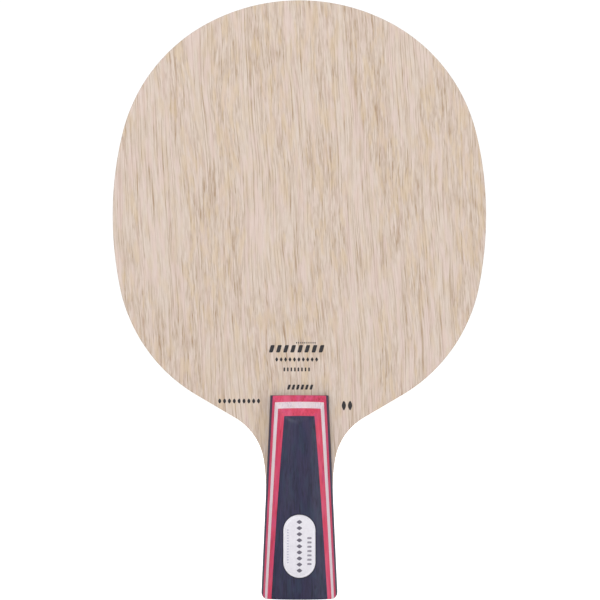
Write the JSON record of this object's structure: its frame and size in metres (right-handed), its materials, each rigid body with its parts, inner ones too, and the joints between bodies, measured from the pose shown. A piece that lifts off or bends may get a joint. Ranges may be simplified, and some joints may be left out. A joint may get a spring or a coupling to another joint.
{
  "type": "table tennis paddle",
  "caption": "Bare penhold table tennis paddle: rounded laminated wood head on a short flared handle of striped dyed-veneer scales with an oblong silver badge.",
  "frame": {"origin": "middle of the butt, on the surface that the paddle stands on when its head points up", "axes": "+Z from the butt to the top of the head, +X across the head, -Y out of the front playing face, which carries the badge below it"},
  "size_m": [0.15, 0.0246, 0.2401],
  "materials": {
    "face_wood": "satin sealed open-grained face veneer",
    "inner_wood": "raw cross-grained veneer, seen at its edge",
    "core_wood": "raw light core wood, seen at its edge",
    "carbon": "woven carbon tape in resin, seen at its edge",
    "navy_veneer": "dyed veneer under satin lacquer",
    "red_veneer": "dyed veneer under satin lacquer",
    "white_veneer": "bleached veneer under satin lacquer",
    "badge_metal": "fine-grained pearly silver",
    "adhesive": "thin dark bonding pad"
  },
  "bodies": {
    "root": {"core_ply": "core_wood", "badge_plate": "badge_metal", "badge_adhesive": "adhesive", "front_inner_ply": "inner_wood", "front_carbon_ply": "carbon", "front_face_ply": "face_wood", "front_scale_base": "navy_veneer", "front_scale_outer_red": "red_veneer", "front_scale_white": "white_veneer", "front_scale_inner_red": "red_veneer", "front_scale_top": "navy_veneer", "back_inner_ply": "inner_wood", "back_carbon_ply": "carbon", "back_face_ply": "face_wood", "back_scale_base": "navy_veneer", "back_scale_outer_red": "red_veneer", "back_scale_white": "white_veneer", "back_scale_inner_red": "red_veneer", "back_scale_top": "navy_veneer"}
  },
  "joints": []
}
